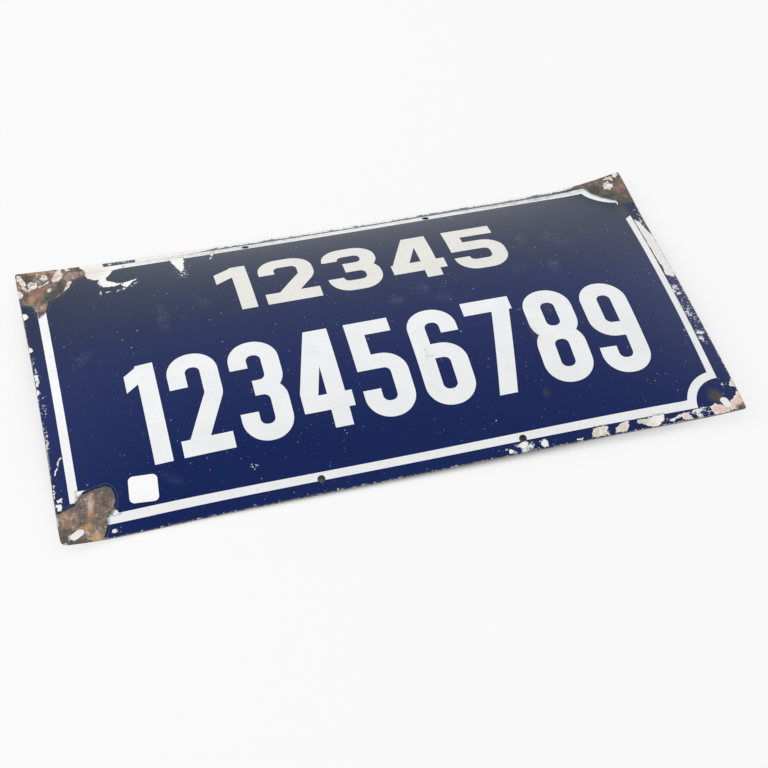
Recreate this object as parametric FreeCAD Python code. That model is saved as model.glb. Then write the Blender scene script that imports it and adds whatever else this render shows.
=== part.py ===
import FreeCAD, Part
import math
import os

# Enamelled street name sign: one sheet of steel, pressed to a low dome, with a raised white line round it,
# screw holes, bent-up corners and a small blank paper label stuck near the lower left corner.
# Millimetres. +X runs along the sign, +Y up the lettering, +Z out of the enamelled face.
# A "flat" place is measured along the sheet from its middle, as on the blank before it was pressed.

# the sheet
sheet_length = 547.0
sheet_width = 300.0
sheet_thickness = 1.6
top_left_corner_radius = 2.0
top_right_corner_radius = 1.0
bottom_right_corner_radius = 1.0
bottom_left_corner_radius = 4.5

# the pressed dome, over the sign's long edges; its middle is a little left of the sheet's
dome_shift = 1.5
middle_rise = 32.4
end_rise = 9.7
power_across = 2.11
power_along = 3.75

# how the old sheet has sprung out of flat
long_edge_spring = 3.7
twist = 3.7
corner_bend_reach = 81.0
top_left_bend = 0.8
top_right_bend = 9.0
bottom_right_bend = 3.2
bottom_left_bend = 7.5

# the raised white line, flat places
line_width = 7.8
line_relief = 0.2
line_margin_left = 10.6
line_margin_right = 11.0
line_margin_bottom = 10.3
line_margin_top = 7.8
scallop_radius = 25.0

# screw holes on the line, one pair near each long edge
pair_hole_diameter = 5.6
pair_hole_inset = 12.0
pair_spacing = 162.4
top_pair_shift = 5.6
bottom_pair_shift = 10.3

# corner holes, by how far in they are from the end and from the long edge; the two lower ones are worn to slots
corner_hole_diameter = 6.6
top_left_hole_inset = (14.0, 21.0)
top_right_hole_inset = (13.5, 12.5)
bottom_left_slot_inset = (13.2, 8.2)
bottom_left_slot_length = 12.5
bottom_left_slot_angle = 34.0
bottom_right_slot_inset = (13.5, 10.3)
bottom_right_slot_length = 11.0
bottom_right_slot_angle = 106.0

# where rust has taken the enamel and the line with it: how far in from the corner, half sizes, turn in degrees
top_left_rust = ((18.0, 26.0), (36.0, 38.0), 0.0)
bottom_left_rust = ((23.0, 21.0), (27.0, 21.0), 50.0)
top_right_rust = ((13.0, 46.0), (8.0, 17.5), 12.0)

# the paper label
label_length = 22.5
label_width = 21.5
label_thickness = 0.2
label_corner_radius = 4.0
label_inset = (68.2, 34.2)
label_turn = -5.5

grid_columns = 41
grid_rows = 23
path_steps = 10
slope_step = 0.5
tool_reach = 60.0
side_points = 9
arc_points = 7
quarter_turn = 90.0


def corner_bend(x, y, side_x, side_y, lift):
    inset = (sheet_length / 2 - side_x * x) + (sheet_width / 2 - side_y * y)
    return lift * max(0.0, 1.0 - inset / corner_bend_reach) ** 2


def height(x, y):
    along = (x + dome_shift) / (sheet_length / 2 + dome_shift)
    across = y / (sheet_width / 2)
    rise = end_rise + (middle_rise - end_rise) * (1.0 - abs(along) ** power_along)
    dome = rise * (1.0 - abs(across) ** power_across)
    spring = long_edge_spring * along ** 2 - twist * along * across
    bends = (
        corner_bend(x, y, -1, 1, top_left_bend)
        + corner_bend(x, y, 1, 1, top_right_bend)
        + corner_bend(x, y, 1, -1, bottom_right_bend)
        + corner_bend(x, y, -1, -1, bottom_left_bend)
    )
    return dome + spring + bends


def path_ratio(x, y, step_x, step_y):
    """How much longer the sheet's own path from the centre line is than its plan."""
    total = 0.0
    for index in range(path_steps):
        share = (index + 0.5) / path_steps
        near_x = x * share if step_x else x
        near_y = y * share if step_y else y
        rise = height(near_x + step_x, near_y + step_y) - height(near_x - step_x, near_y - step_y)
        total += math.hypot(1.0, rise / (2.0 * slope_step))
    return total / path_steps


def plan_place(flat_x, flat_y):
    """Where a flat place lies in plan once the sheet is domed."""
    x, y = flat_x, flat_y
    for _ in range(6):
        x, y = (
            flat_x / path_ratio(x, y, slope_step, 0.0),
            flat_y / path_ratio(x, y, 0.0, slope_step),
        )
    return x, y


def spread(start, end, count):
    return [start + (end - start) * index / (count - 1) for index in range(count)]


def outward(x, y):
    """The direction straight out of the domed face."""
    slope_x = (height(x + slope_step, y) - height(x - slope_step, y)) / (2.0 * slope_step)
    slope_y = (height(x, y + slope_step) - height(x, y - slope_step)) / (2.0 * slope_step)
    return FreeCAD.Vector(-slope_x, -slope_y, 1.0).normalize()


def domed_face(offset):
    """The whole sheet's outline on the dome, moved out of the enamelled face by an offset."""
    rows = []
    for flat_x in spread(-sheet_length / 2, sheet_length / 2, grid_columns):
        row = []
        for flat_y in spread(-sheet_width / 2, sheet_width / 2, grid_rows):
            x, y = plan_place(flat_x, flat_y)
            row.append(FreeCAD.Vector(x, y, height(x, y)) + outward(x, y) * offset)
        rows.append(row)
    surface = Part.BSplineSurface()
    surface.interpolate(rows)
    return surface.toShape()


def layer(top, bottom):
    """A solid skin between two heights over the enamelled face."""
    upper = domed_face(top)
    lower = domed_face(bottom)
    sides = [Part.makeRuledSurface(*edges) for edges in zip(upper.Edges, lower.Edges)]
    shell = Part.makeShell([upper, lower] + sides)
    shell.sewShape()
    skin = Part.makeSolid(Part.Shell(shell.Faces))
    return skin if skin.Volume > 0 else skin.reversed()


def prism(wire):
    base = Part.Face(wire)
    base.translate(FreeCAD.Vector(0, 0, -tool_reach))
    return base.extrude(FreeCAD.Vector(0, 0, 2 * tool_reach))


def formed_edge(flat_points):
    places = [FreeCAD.Vector(*plan_place(*point), 0) for point in flat_points]
    curve = Part.BSplineCurve()
    curve.interpolate(places)
    return curve.toShape()


def arc_of_points(middle, radius, start, end):
    return [
        (middle[0] + radius * math.cos(math.radians(turn)), middle[1] + radius * math.sin(math.radians(turn)))
        for turn in spread(start, end, arc_points)
    ]


def scalloped_wire(inset):
    """The line's outer edge at inset 0, its inner edge at inset line_width: sides joined by concave arcs."""
    left = -sheet_length / 2 + line_margin_left
    right = sheet_length / 2 - line_margin_right
    bottom = -sheet_width / 2 + line_margin_bottom
    top = sheet_width / 2 - line_margin_top
    radius = scallop_radius + inset
    skew = math.degrees(math.asin(inset / radius))
    arcs = []
    for index, middle in enumerate([(right, bottom), (right, top), (left, top), (left, bottom)]):
        start = (index + 2) * quarter_turn - skew
        end = (index + 1) * quarter_turn + skew
        arcs.append(arc_of_points(middle, radius, start, end))
    edges = []
    for index, arc in enumerate(arcs):
        edges.append(formed_edge(arc))
        following = arcs[(index + 1) % len(arcs)]
        along_x = spread(arc[-1][0], following[0][0], side_points)
        along_y = spread(arc[-1][1], following[0][1], side_points)
        edges.append(formed_edge(list(zip(along_x, along_y))))
    return Part.Wire(edges)


def in_from_corner(side_x, side_y, inset):
    """The flat place that is so far in from an end and from a long edge."""
    return side_x * (sheet_length / 2 - inset[0]), side_y * (sheet_width / 2 - inset[1])


def slot_cutter(flat_middle, length, width, turn):
    x, y = plan_place(*flat_middle)
    run = (length - width) / 2
    radius = width / 2
    body = Part.makeCylinder(radius, 2 * tool_reach, FreeCAD.Vector(-run, 0, -tool_reach))
    if run > 0:
        far_end = Part.makeCylinder(radius, 2 * tool_reach, FreeCAD.Vector(run, 0, -tool_reach))
        middle = Part.makeBox(2 * run, width, 2 * tool_reach, FreeCAD.Vector(-run, -radius, -tool_reach))
        body = body.fuse([far_end, middle]).removeSplitter()
    body.rotate(FreeCAD.Vector(0, 0, 0), FreeCAD.Vector(0, 0, 1), turn)
    body.translate(FreeCAD.Vector(x, y, 0))
    return body


def pair_hole_places():
    row = sheet_width / 2 - pair_hole_inset
    return [
        (shift + side * pair_spacing / 2, flat_y)
        for shift, flat_y in ((top_pair_shift, row), (bottom_pair_shift, -row))
        for side in (-1, 1)
    ]


def hole_cutters():
    cutters = [slot_cutter(place, pair_hole_diameter, pair_hole_diameter, 0.0) for place in pair_hole_places()]
    width = corner_hole_diameter
    cutters.append(slot_cutter(in_from_corner(-1, 1, top_left_hole_inset), width, width, 0.0))
    cutters.append(slot_cutter(in_from_corner(1, 1, top_right_hole_inset), width, width, 0.0))
    left_slot = in_from_corner(-1, -1, bottom_left_slot_inset)
    cutters.append(slot_cutter(left_slot, bottom_left_slot_length, width, bottom_left_slot_angle))
    right_slot = in_from_corner(1, -1, bottom_right_slot_inset)
    cutters.append(slot_cutter(right_slot, bottom_right_slot_length, width, bottom_right_slot_angle))
    return cutters


def patch_cutter(side_x, side_y, patch):
    inset, half_sizes, turn = patch
    middle = FreeCAD.Vector(*plan_place(*in_from_corner(side_x, side_y, inset)), 0)
    if half_sizes[0] < half_sizes[1]:
        turn += quarter_turn
    outline = Part.Wire([Part.Ellipse(FreeCAD.Vector(0, 0, 0), max(half_sizes), min(half_sizes)).toShape()])
    outline.rotate(FreeCAD.Vector(0, 0, 0), FreeCAD.Vector(0, 0, 1), turn)
    outline.translate(middle)
    return prism(outline)


def white_line():
    ring = prism(scalloped_wire(0.0)).cut(prism(scalloped_wire(line_width)))
    rust = [
        patch_cutter(-1, 1, top_left_rust),
        patch_cutter(-1, -1, bottom_left_rust),
        patch_cutter(1, 1, top_right_rust),
    ]
    return layer(line_relief, -sheet_thickness / 2).common(ring.cut(rust))


def corner_cutter(side_x, side_y, radius):
    corner_x, corner_y = plan_place(side_x * sheet_length / 2, side_y * sheet_width / 2)
    middle = FreeCAD.Vector(corner_x - side_x * radius, corner_y - side_y * radius, -tool_reach)
    block_size = 2 * radius
    block = Part.makeBox(block_size, block_size, 2 * tool_reach)
    block.translate(middle + FreeCAD.Vector(min(0, side_x) * block_size, min(0, side_y) * block_size, 0))
    return block.cut(Part.makeCylinder(radius, 2 * tool_reach, middle))


def sign_plate():
    corners = [
        corner_cutter(-1, 1, top_left_corner_radius),
        corner_cutter(1, 1, top_right_corner_radius),
        corner_cutter(1, -1, bottom_right_corner_radius),
        corner_cutter(-1, -1, bottom_left_corner_radius),
    ]
    return layer(0.0, -sheet_thickness).fuse(white_line()).cut(hole_cutters() + corners)


def rounded_outline(length, width, radius):
    base = Part.makePlane(length, width, FreeCAD.Vector(-length / 2, -width / 2, 0))
    block = base.extrude(FreeCAD.Vector(0, 0, 1))
    uprights = [edge for edge in block.Edges if abs(edge.tangentAt(edge.FirstParameter).z) > 0.5]
    rounded = block.makeFillet(radius, uprights)
    return min(rounded.Faces, key=lambda side: side.CenterOfMass.z).OuterWire


def paper_label():
    outline = rounded_outline(label_length, label_width, label_corner_radius)
    outline.rotate(FreeCAD.Vector(0, 0, 0), FreeCAD.Vector(0, 0, 1), label_turn)
    outline.translate(FreeCAD.Vector(*plan_place(*in_from_corner(-1, -1, label_inset)), 0))
    return layer(label_thickness, 0.0).common(prism(outline))


def main():
    os.makedirs("parts", exist_ok=True)
    shapes = {"sign_plate": sign_plate(), "paper_label": paper_label()}
    # the sign lies face up on its long edges, with their lowest points on Z = 0
    lowest = shapes["sign_plate"].optimalBoundingBox().ZMin
    for name, shape in shapes.items():
        shape.translate(FreeCAD.Vector(0, 0, -lowest))
        solids = shape.Solids
        assert len(solids) == 1 and solids[0].isValid(), name
        solids[0].exportStep("parts/" + name + ".step")
        box = solids[0].optimalBoundingBox()
        print(name, "volume mm3", round(solids[0].Volume), "faces", len(solids[0].Faces))
        print("  box", [round(value, 3) for value in (box.XMin, box.XMax, box.YMin, box.YMax, box.ZMin, box.ZMax)])
    print("raised by", round(-lowest, 3))


main()
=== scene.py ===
import math

import bmesh
import bpy
import numpy as np
from mathutils import Matrix, Vector, noise


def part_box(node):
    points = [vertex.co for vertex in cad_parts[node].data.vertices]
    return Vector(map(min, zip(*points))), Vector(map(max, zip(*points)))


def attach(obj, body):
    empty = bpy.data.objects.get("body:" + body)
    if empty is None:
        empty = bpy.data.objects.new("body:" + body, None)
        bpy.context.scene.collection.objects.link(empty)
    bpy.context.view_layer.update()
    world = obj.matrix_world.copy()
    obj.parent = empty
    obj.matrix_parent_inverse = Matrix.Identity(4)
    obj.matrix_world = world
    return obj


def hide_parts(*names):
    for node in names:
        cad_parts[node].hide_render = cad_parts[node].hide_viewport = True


# An enamelled steel street name sign, lying face up on its long edges.
# Pieces are drawn flat, in millimetres measured along the sheet from the dome's middle, then pressed onto it.
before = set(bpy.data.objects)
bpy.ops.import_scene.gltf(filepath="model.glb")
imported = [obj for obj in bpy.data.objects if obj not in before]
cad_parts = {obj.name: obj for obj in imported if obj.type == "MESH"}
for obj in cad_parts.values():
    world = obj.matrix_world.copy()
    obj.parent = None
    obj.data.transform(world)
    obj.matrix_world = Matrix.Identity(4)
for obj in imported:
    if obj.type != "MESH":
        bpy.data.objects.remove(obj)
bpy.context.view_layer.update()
mm = 0.001
quarterTurn = math.radians(90)

sheetForm = {
    "length": 547.0,
    "width": 300.0,
    "domeShift": 1.5,
    "thickness": 1.6,
    "cornerRadii": {(-1, 1): 2.0, (1, 1): 1.0, (1, -1): 1.0, (-1, -1): 4.5},
    "cell": 2.5,
    "rimRounding": 0.45,
    "middleRise": 32.4,
    "endRise": 9.7,
    "powerAcross": 2.11,
    "powerAlong": 3.75,
    "edgeSpring": 3.7,
    "twist": 3.7,
    "bendReach": 81.0,
    "bends": {(-1, 1): 0.8, (1, 1): 9.0, (1, -1): 3.2, (-1, -1): 7.5},
    "slopeStep": 0.5,
    "pathSteps": 10,
    "placingRounds": 6,
    "steepRim": 60,  # degrees
    "enamelAbove": -0.05,  # the height on the flat sheet over which a point is on the enamelled face
    "levelFace": 0.99,  # how far up a face points where it is on the enamelled side, and on the back
    "backBelow": -0.3,
    "liftedBy": 0.0,  # set once the sheet is pressed
}


def heightAt(x, y):
    form = sheetForm
    along = (x + form["domeShift"]) / (form["length"] / 2 + form["domeShift"])
    across = y / (form["width"] / 2)
    fall = form["middleRise"] - form["endRise"]
    rise = form["endRise"] + fall * (1 - np.abs(along) ** form["powerAlong"])
    height = rise * (1 - np.abs(across) ** form["powerAcross"])
    height = height + form["edgeSpring"] * along**2 - form["twist"] * along * across
    for (sideX, sideY), lift in form["bends"].items():
        inset = (form["length"] / 2 - sideX * x) + (form["width"] / 2 - sideY * y)
        height = height + lift * np.maximum(0, 1 - inset / form["bendReach"]) ** 2
    return height


def pathRatio(x, y, stepX, stepY):
    # how much longer the sheet's own path from its middle is than the plan
    total = 0
    for index in range(sheetForm["pathSteps"]):
        share = (index + 0.5) / sheetForm["pathSteps"]
        nearX = x * share if stepX else x
        nearY = y * share if stepY else y
        rise = heightAt(nearX + stepX, nearY + stepY) - heightAt(nearX - stepX, nearY - stepY)
        total = total + np.hypot(1, rise / (2 * (stepX + stepY)))
    return total / sheetForm["pathSteps"]


def pressed(flat):
    # flat places with a height over the enamel, to places on the dome in metres
    step = sheetForm["slopeStep"]
    flatX, flatY = flat[:, 0] - sheetForm["domeShift"], flat[:, 1]
    x, y = flatX, flatY
    for _ in range(sheetForm["placingRounds"]):
        x, y = flatX / pathRatio(x, y, step, 0), flatY / pathRatio(x, y, 0, step)
    slopeX = (heightAt(x + step, y) - heightAt(x - step, y)) / (2 * step)
    slopeY = (heightAt(x, y + step) - heightAt(x, y - step)) / (2 * step)
    outward = np.stack([-slopeX, -slopeY, np.ones(len(x))], axis=1)
    outward /= np.linalg.norm(outward, axis=1)[:, None]
    places = np.stack([x, y, heightAt(x, y)], axis=1) + outward * flat[:, 2:3]
    places[:, 2] += sheetForm["liftedBy"]
    return places * mm


def flatEnd(side):
    # where the sheet's left or right end is on the flat sheet
    return side * sheetForm["length"] / 2 + sheetForm["domeShift"]


# Wear, by flat place: outlines go round a patch, spots are (x, y, half length, half width, turn, strength).
wearOutlines = {
    "rust": [
        [(-277, 153), (-222, 153), (-219.5, 147), (-215.5, 141), (-214.5, 136), (-216, 131), (-221, 130),
         (-225, 126), (-229, 117), (-236, 110), (-243, 105), (-249, 103), (-250, 97), (-251.5, 90.5),
         (-258, 84.5), (-260, 93), (-262.5, 101), (-268, 105), (-277, 106)],
        [(-271, -121), (-266, -119), (-257, -116.5), (-253.5, -111.5), (-249, -108), (-241, -106.3),
         (-232, -105.5), (-228, -108.5), (-226, -114), (-226.5, -121), (-229, -127), (-232.5, -131),
         (-235, -131.5), (-235, -138), (-238, -145), (-240, -149), (-243, -153), (-277, -153), (-277, -134),
         (-271, -133.5), (-270, -128)],
        [(233, 153), (232, 147.5), (238, 143), (240, 139), (242, 131), (248, 123), (256, 116), (262, 113),
         (267, 109), (277, 108), (277, 153)],
        [(269, -146.5), (277, -145), (277, -152), (268, -151)],
    ],
    # where the white line has gone but the blue under it has not
    "lineGone": [
        [(260, 117), (268, 113), (268, 92), (264.5, 90), (257.5, 86), (252, 92), (252, 106), (259.5, 108)],
    ],
    "ground": [
        [(-218, 153), (-217, 146), (-214, 141), (-214, 131), (-212, 125), (-207, 121), (-203.5, 120.5),
         (-203, 112), (-201, 106.5), (-196, 105), (-189, 105), (-186.5, 106.5), (-185, 103), (-184, 99.5),
         (-181, 99.5), (-179, 103.5), (-176, 106.5), (-171, 110.5), (-178, 109.5), (-184, 107.5),
         (-190, 109.5), (-194, 113.5), (-198, 117), (-197, 121), (-193, 127), (-190, 133), (-181, 135),
         (-181, 141.5), (-197, 142), (-198, 153)],
        [(-170, 153), (-169.5, 142), (-140, 142.5), (-115, 143.5), (-100, 147), (-96, 153)],
        [(-205.5, 118), (-206.2, 106), (-204.8, 94.5), (-203.3, 94.8), (-205.0, 105), (-204.6, 118)],
        [(-201.5, 98), (-197.5, 98.3), (-195, 96.8), (-198, 95.8)],
        [(-192.5, 96), (-190, 98), (-187, 97.5), (-189, 95)],
        [(-141.5, 137), (-139.5, 127), (-137, 116), (-134.5, 107), (-132, 113), (-130, 125), (-128.5, 137)],
        [(-103, 141), (-105.5, 133), (-108.5, 122.5), (-107.5, 122), (-104, 131.5), (-101, 141)],
        [(265.2, 85), (267.5, 82), (270.5, 76), (273.5, 62), (276, 60), (276, 7), (272.5, 2), (268, 4),
         (264.9, 3), (266.8, 15), (265.3, 25), (265.3, 50), (265, 66)],
        [(147.5, -147), (150, -141), (157, -140.5), (163, -141.5), (160.5, -145.5), (161, -148.5),
         (150, -149.3)],
        [(165.5, -146.5), (169, -143.5), (173, -141), (180, -140.5), (178.5, -145), (175.5, -149.3),
         (168, -148.3)],
        [(184, -140.7), (196, -141.5), (199, -140), (209.5, -140.2), (207.5, -145.5), (203.5, -149.6),
         (195, -149), (191.5, -145.5), (187.5, -144.3)],
        [(211, -146.5), (216, -145.5), (221.5, -143), (229, -142.8), (240, -140.6), (246.5, -141.4),
         (240, -142.3), (229, -144), (232, -148.6), (224, -149), (222, -145.5), (214, -147.8)],
        [(247.5, -146), (248, -141), (252, -139.3), (256, -141), (259, -143.5), (262.5, -146.5),
         (262, -151), (250, -150)],
        [(262.5, -144), (265.5, -140), (269.5, -137), (272.5, -133), (277, -130), (277, -147),
         (268, -149.3), (263.5, -148.3)],
        [(269.5, -125), (272.5, -120), (277, -115), (277, -128), (272, -126.5)],
        [(-277, -119), (-271, -120), (-269.6, -126), (-270.5, -133), (-277, -134.5)],
        [(-270.5, -112), (-266.2, -111.5), (-266.8, -118), (-270, -118.5)],
        [(-270, -107.5), (-266, -107), (-265.5, -110), (-269, -110.5)],
        [(-233, -144), (-231, -142.6), (-229.3, -144.5), (-231, -146.8)],
        [(-271.5, 95.5), (-268, 93.5), (-267.3, 88.5), (-270, 85.5), (-271.5, 88)],
        [(-259.3, 98), (-258.3, 96), (-258.6, 91), (-259.8, 93)],
        [(-277, 53), (-270, 51.5), (-268, 49), (-269, 46), (-277, 46)],
        [(-277, 3.5), (-269.5, 2.5), (-268.8, 0), (-271, -3), (-277, -3)],
        [(-277, -60.5), (-271, -61), (-270.6, -65), (-277, -66)],
        [(-262.5, -68), (-261, -70.5), (-263.5, -73.5), (-268, -85), (-269, -84), (-264, -72.5),
         (-263.5, -69)],
        [(-270.2, -90), (-269.5, -92), (-271, -107), (-271.8, -105)],
        [(-254.5, -103.6), (-247.3, -104.9), (-250.5, -107), (-255, -110)],
        [(-231, -132), (-228.3, -125), (-226.2, -128.4), (-223.5, -131.5)],
        [(105, -142.5), (110, -142), (113, -146), (110.5, -149), (106, -147)],
        [(80, -143.5), (83.5, -144), (82.5, -147), (84.5, -149), (79, -148.5)],
        [(131, -147.8), (140, -147.3), (139, -149.3), (131, -149.3)],
        [(58.5, -148.3), (62.5, -148.3), (62, -149.7), (58, -149.7)],
        [(92.5, -140), (96, -141), (97, -144), (93, -146.5), (88, -145.5), (87.5, -142.5)],
    ],
    "flake": [
        [(-236, 153), (-238.5, 145), (-241.5, 137), (-243, 131.5), (-238, 129), (-233.5, 133), (-232, 140),
         (-233, 147), (-231, 153)],
        [(-234.5, 112), (-231, 114), (-227.5, 121), (-225.5, 127.5), (-229, 128.5), (-231.5, 121),
         (-233.5, 115)],
        [(-242.5, 104.3), (-241.3, 104.3), (-236, 109.2), (-236.4, 110.4), (-240, 107.8)],
        [(-270.5, 148), (-267.5, 146), (-265.5, 139), (-263.5, 133), (-266, 130), (-269, 134),
         (-271.5, 141)],
        [(-269, 129), (-264.5, 124), (-259, 121.8), (-258.5, 123), (-263, 126), (-267.5, 131)],
        [(-272, 127), (-268, 122), (-266.5, 118.5), (-270, 115.5), (-277, 117), (-277, 125)],
        [(-256, 147.5), (-253.5, 148.5), (-252.5, 145.5), (-255, 144.5)],
        [(-230.5, 150), (-226, 149.5), (-224.5, 145), (-229, 144.5)],
        [(-250.5, 146), (-246, 142), (-245, 136), (-248, 133), (-252, 137)],
        [(-248.5, 120.5), (-245, 122.5), (-242.5, 119), (-246, 115.8)],
        [(-254, 127.5), (-248, 130.5), (-244, 134.5), (-244.5, 131), (-249, 127), (-254, 125)],
        [(-264, 128), (-261.5, 123.5), (-257, 123.5), (-254, 128), (-255, 134), (-259, 136), (-263, 133)],
        [(255.5, 137), (256.5, 132.5), (260, 131), (263.5, 133.5), (264.8, 138.5), (262.5, 142.5),
         (258, 142)],
        [(258.5, 146.5), (262, 149), (267, 147.5), (266.8, 141), (264.5, 139), (264.3, 144), (260, 144.8)],
        [(268, 145), (268.5, 149.5), (273, 151.5), (274, 147), (271.5, 144)],
        [(-277, -148.7), (-268, -149), (-266.5, -151.5), (-277, -151.5)],
        [(-253.5, -150), (-250.5, -149.7), (-251, -153), (-254, -153)],
        [(-265.5, -143), (-262.5, -141), (-260.5, -144), (-262, -147.5), (-265, -146.5)],
    ],
}
wearSpots = {
    # darker and lighter rust
    "tone": [
        (-262, 141, 7, 4.5, 80, -1.6), (-241, 113, 12, 5.5, 35, -1.7), (-236, 124, 8, 2.6, 85, -1.7),
        (-219, 147, 5, 3, 80, -1.6), (-238, 151, 4, 2, 0, -1.5), (-254, 138, 6, 7, 0, 0.6),
        (-267, 112, 6, 7, 0, -0.8), (-256, 89, 5, 3, 60, -1.1), (-250, 107, 7, 5, 20, -1.0),
        (-270, 148, 4, 4, 0, -0.9), (-225, 137, 8, 6, 60, 0.3), (-248, 148, 9, 3.5, 0, 0.6),
        (-255, 98, 7, 4, 60, 0.3), (-272, 138, 8, 2, 90, 1.0), (-247, -126, 20, 16, 0, -0.1),
        (258, 132, 18, 18, 0, -0.8), (-245, -118, 9, 2.5, 80, 1.5), (-243, -148, 5, 6, 80, 1.2),
        (-252, -140, 4, 8, 80, 0.6), (-265, -126, 7, 5, 60, 0.6), (-268, -144, 8, 7, 70, -1.2),
        (-233, -113, 9, 5, 60, -0.6), (-243, -133, 7, 7, 0, -0.2), (-238, -146, 4, 5, 80, -0.6),
        (-255, -150, 8, 2, 0, -0.9), (246, 135, 7, 4, 70, -1.7), (256, 121, 6, 4, 30, -1.3),
        (267, 130, 8, 5, 80, 0.1), (252, 146, 6, 4, 0, 0.5), (240, 146, 6, 3, 20, 0.0),
        (264, 113, 6, 4, 0, -0.9), (270, 118, 8, 4, 90, -0.6), (267, 143, 5, 3, 0, -0.7),
        (274, -149, 4, 3, 0, -1.4),
    ],
    # redder and more orange rust
    "red": [
        (-256, 117, 9, 5, 100, 1.1), (-251, 124, 5, 4, 0, 0.9), (-254, 98, 8, 4, 90, 0.5),
        (-226, 137, 8, 5, 100, 0.4), (-266, -121, 5, 4, 0, 0.9), (-266, -133, 6, 3.5, 0, 0.8),
        (-245, -120, 10, 4, 80, 0.5), (268, 131, 9, 6, 80, 0.7), (-246, 132, 6, 3, 80, 0.6),
    ],
    "orange": [
        (-252, 148.5, 8, 3.5, 0, 1.1), (-236, 143, 4, 5, 80, 0.9), (-262, 111, 6, 3, 80, 1.0),
        (-270, 130, 5, 3, 80, 0.7), (-244, -148, 4, 5, 80, 1.3), (-252, -138, 3.5, 6, 100, 1.0),
        (-246, -126, 7, 3, 80, 0.7), (-267, -125, 5, 3, 60, 0.7), (256, 127, 6, 4, 0, 0.3),
    ],
    "pink": [
        (226, -147, 6, 5, 0, 1.3), (255, -145, 9, 6, 0, 1.2), (271, -141, 9, 9, 0, 1.3),
        (273, -122, 6, 8, 0, 1.1), (175, -145, 3, 2.5, 0, 0.8), (-208, 136, 10, 9, 0, 0.35),
        (-116, 148, 18, 4, 0, 0.3), (198, -148, 3, 2, 0, 0.7), (-256, 130, 5, 4, 0, 0.5),
    ],
    "cream": [
        (171, -145, 7, 5, 0, 0.8), (190, -143, 8, 4, 0, 1.2), (154, -145, 8, 5, 0, 1.2),
        (-207, 132, 12, 14, 0, 0.35), (262, -146, 6, 5, 0, 0.5), (270, 40, 6, 40, 0, 0.35),
        (-150, 147, 30, 6, 0, 0.35), (-271, -48, 14, 3, 90, 1.2), (265, 144, 6, 6, 0, 0.7),
    ],
    "chipping": [
        (269, -32, 34, 6, 90, 1.05), (267, -15, 10, 4, 90, 0.4), (268, -70, 8, 3, 90, 0.9),
        (273, 80, 18, 3, 90, 0.8), (-270.5, 24, 22, 2.2, 90, 1.5), (-268, -18, 14, 2.0, 90, 0.9),
        (-271, -48, 14, 2.0, 90, 1.5), (-269, -104, 8, 2, 80, 0.5), (-267, -88, 12, 2, 80, 0.3),
        (-270, 90, 8, 3, 90, 0.7), (-184, 146, 16, 5, 0, 0.7), (-100, 149, 40, 4, 0, 1.2),
        (60, 150, 190, 3.0, 0, 1.7), (-30, 148, 50, 4, 0, 1.0), (40, 147, 50, 3, 0, 0.9),
        (190, 150, 60, 4, 0, 1.2), (88, -146, 12, 5, 0, 1.1), (107, -147, 10, 4, 0, 0.9),
        (238, -145, 8, 3.5, 0, 0.9), (-60, -149, 90, 1.2, 0, 0.9), (49, 62, 4, 5, 0, 0.8),
        (253, 6, 3, 3, 70, 0.9), (256, -66, 9, 2.5, 70, 0.6), (266, -126, 7, 5, 0, 0.5),
        (-134, 112, 12, 6, 90, 1.0), (-181, 100, 9, 3, 20, 0.8), (-229, -145, 4, 3, 0, 1.0),
        (157, -146, 9, 5, 0, 0.8), (215, -144, 25, 3, 0, 0.5), (26, 80, 3, 2, 0, 0.7),
        (108, 128, 2, 4, 0, 0.9), (-118, -118, 5, 3, 0, 0.7), (75, -120, 2, 2, 0, 0.9),
        (-214, -84, 2, 2, 0, 0.9),
    ],
    "smudge": [
        (155, 70, 4, 6, 0, 0.9), (180, 68, 6, 6, 30, 0.7), (188, 58, 7, 5, 0, 0.7), (171, 27, 5, 8, 0, 0.9),
        (-160, 45, 4, 14, 0, 0.9), (30, 16, 6, 5, 0, 0.7), (55, 24, 5, 6, 0, 0.7), (68, 10, 6, 5, 0, 0.7),
        (-231, 20, 9, 4, 40, 0.7), (-181, -113, 3, 8, 50, 0.6), (46, 62, 5, 7, 0, 0.8),
        (140, 30, 8, 5, 0, 0.4), (-125, 56, 4, 8, 20, 0.4), (92, -143, 7, 4, 0, 0.9),
    ],
    "stain": [
        (130, -47, 3, 12, 10, 0.5), (148, -22, 3, 7, 0, 0.45), (122, -104, 3, 4, 0, 0.5),
        (-196, -70, 2, 3, 0, 0.3), (260, 100, 5, 12, 0, 0.6), (255, -132, 5, 6, 10, 0.85),
        (259, -139, 3, 5, 0, 0.6), (157, 52, 3, 5, 0, 0.35),
    ],
    # dust and grime on the white coat along the top edge
    "grime": [
        (-100, 140, 60, 5, 0, 0.8), (60, 140, 120, 4, 0, 0.7), (190, 141, 60, 5, 0, 1.0),
        (-40, 146, 60, 3, 0, 1.2), (150, 145.5, 100, 2.5, 0, 1.5), (30, 144.5, 50, 2, 0, 1.2),
    ],
}


def insideOutline(flat, outline):
    # how far inside an outline each flat place is, and less than nothing outside it
    nearest = np.full(len(flat), np.inf)
    crossings = np.zeros(len(flat), dtype=int)
    corners = [np.array(corner, dtype=float) for corner in outline]
    for corner, following in zip(corners, corners[1:] + corners[:1]):
        run = following - corner
        fromCorner = flat[:, :2] - corner
        share = np.clip(fromCorner @ run / (run @ run), 0, 1)
        nearest = np.minimum(nearest, np.linalg.norm(fromCorner - share[:, None] * run, axis=1))
        straddles = (corner[1] > flat[:, 1]) != (following[1] > flat[:, 1])
        crossings += straddles & (fromCorner[:, 0] < fromCorner[:, 1] * run[0] / (run[1] or 1))
    return np.where(crossings % 2 == 1, nearest, -nearest)


spotReach = 1.6  # where a spot fades to nothing, in its own half sizes


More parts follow.
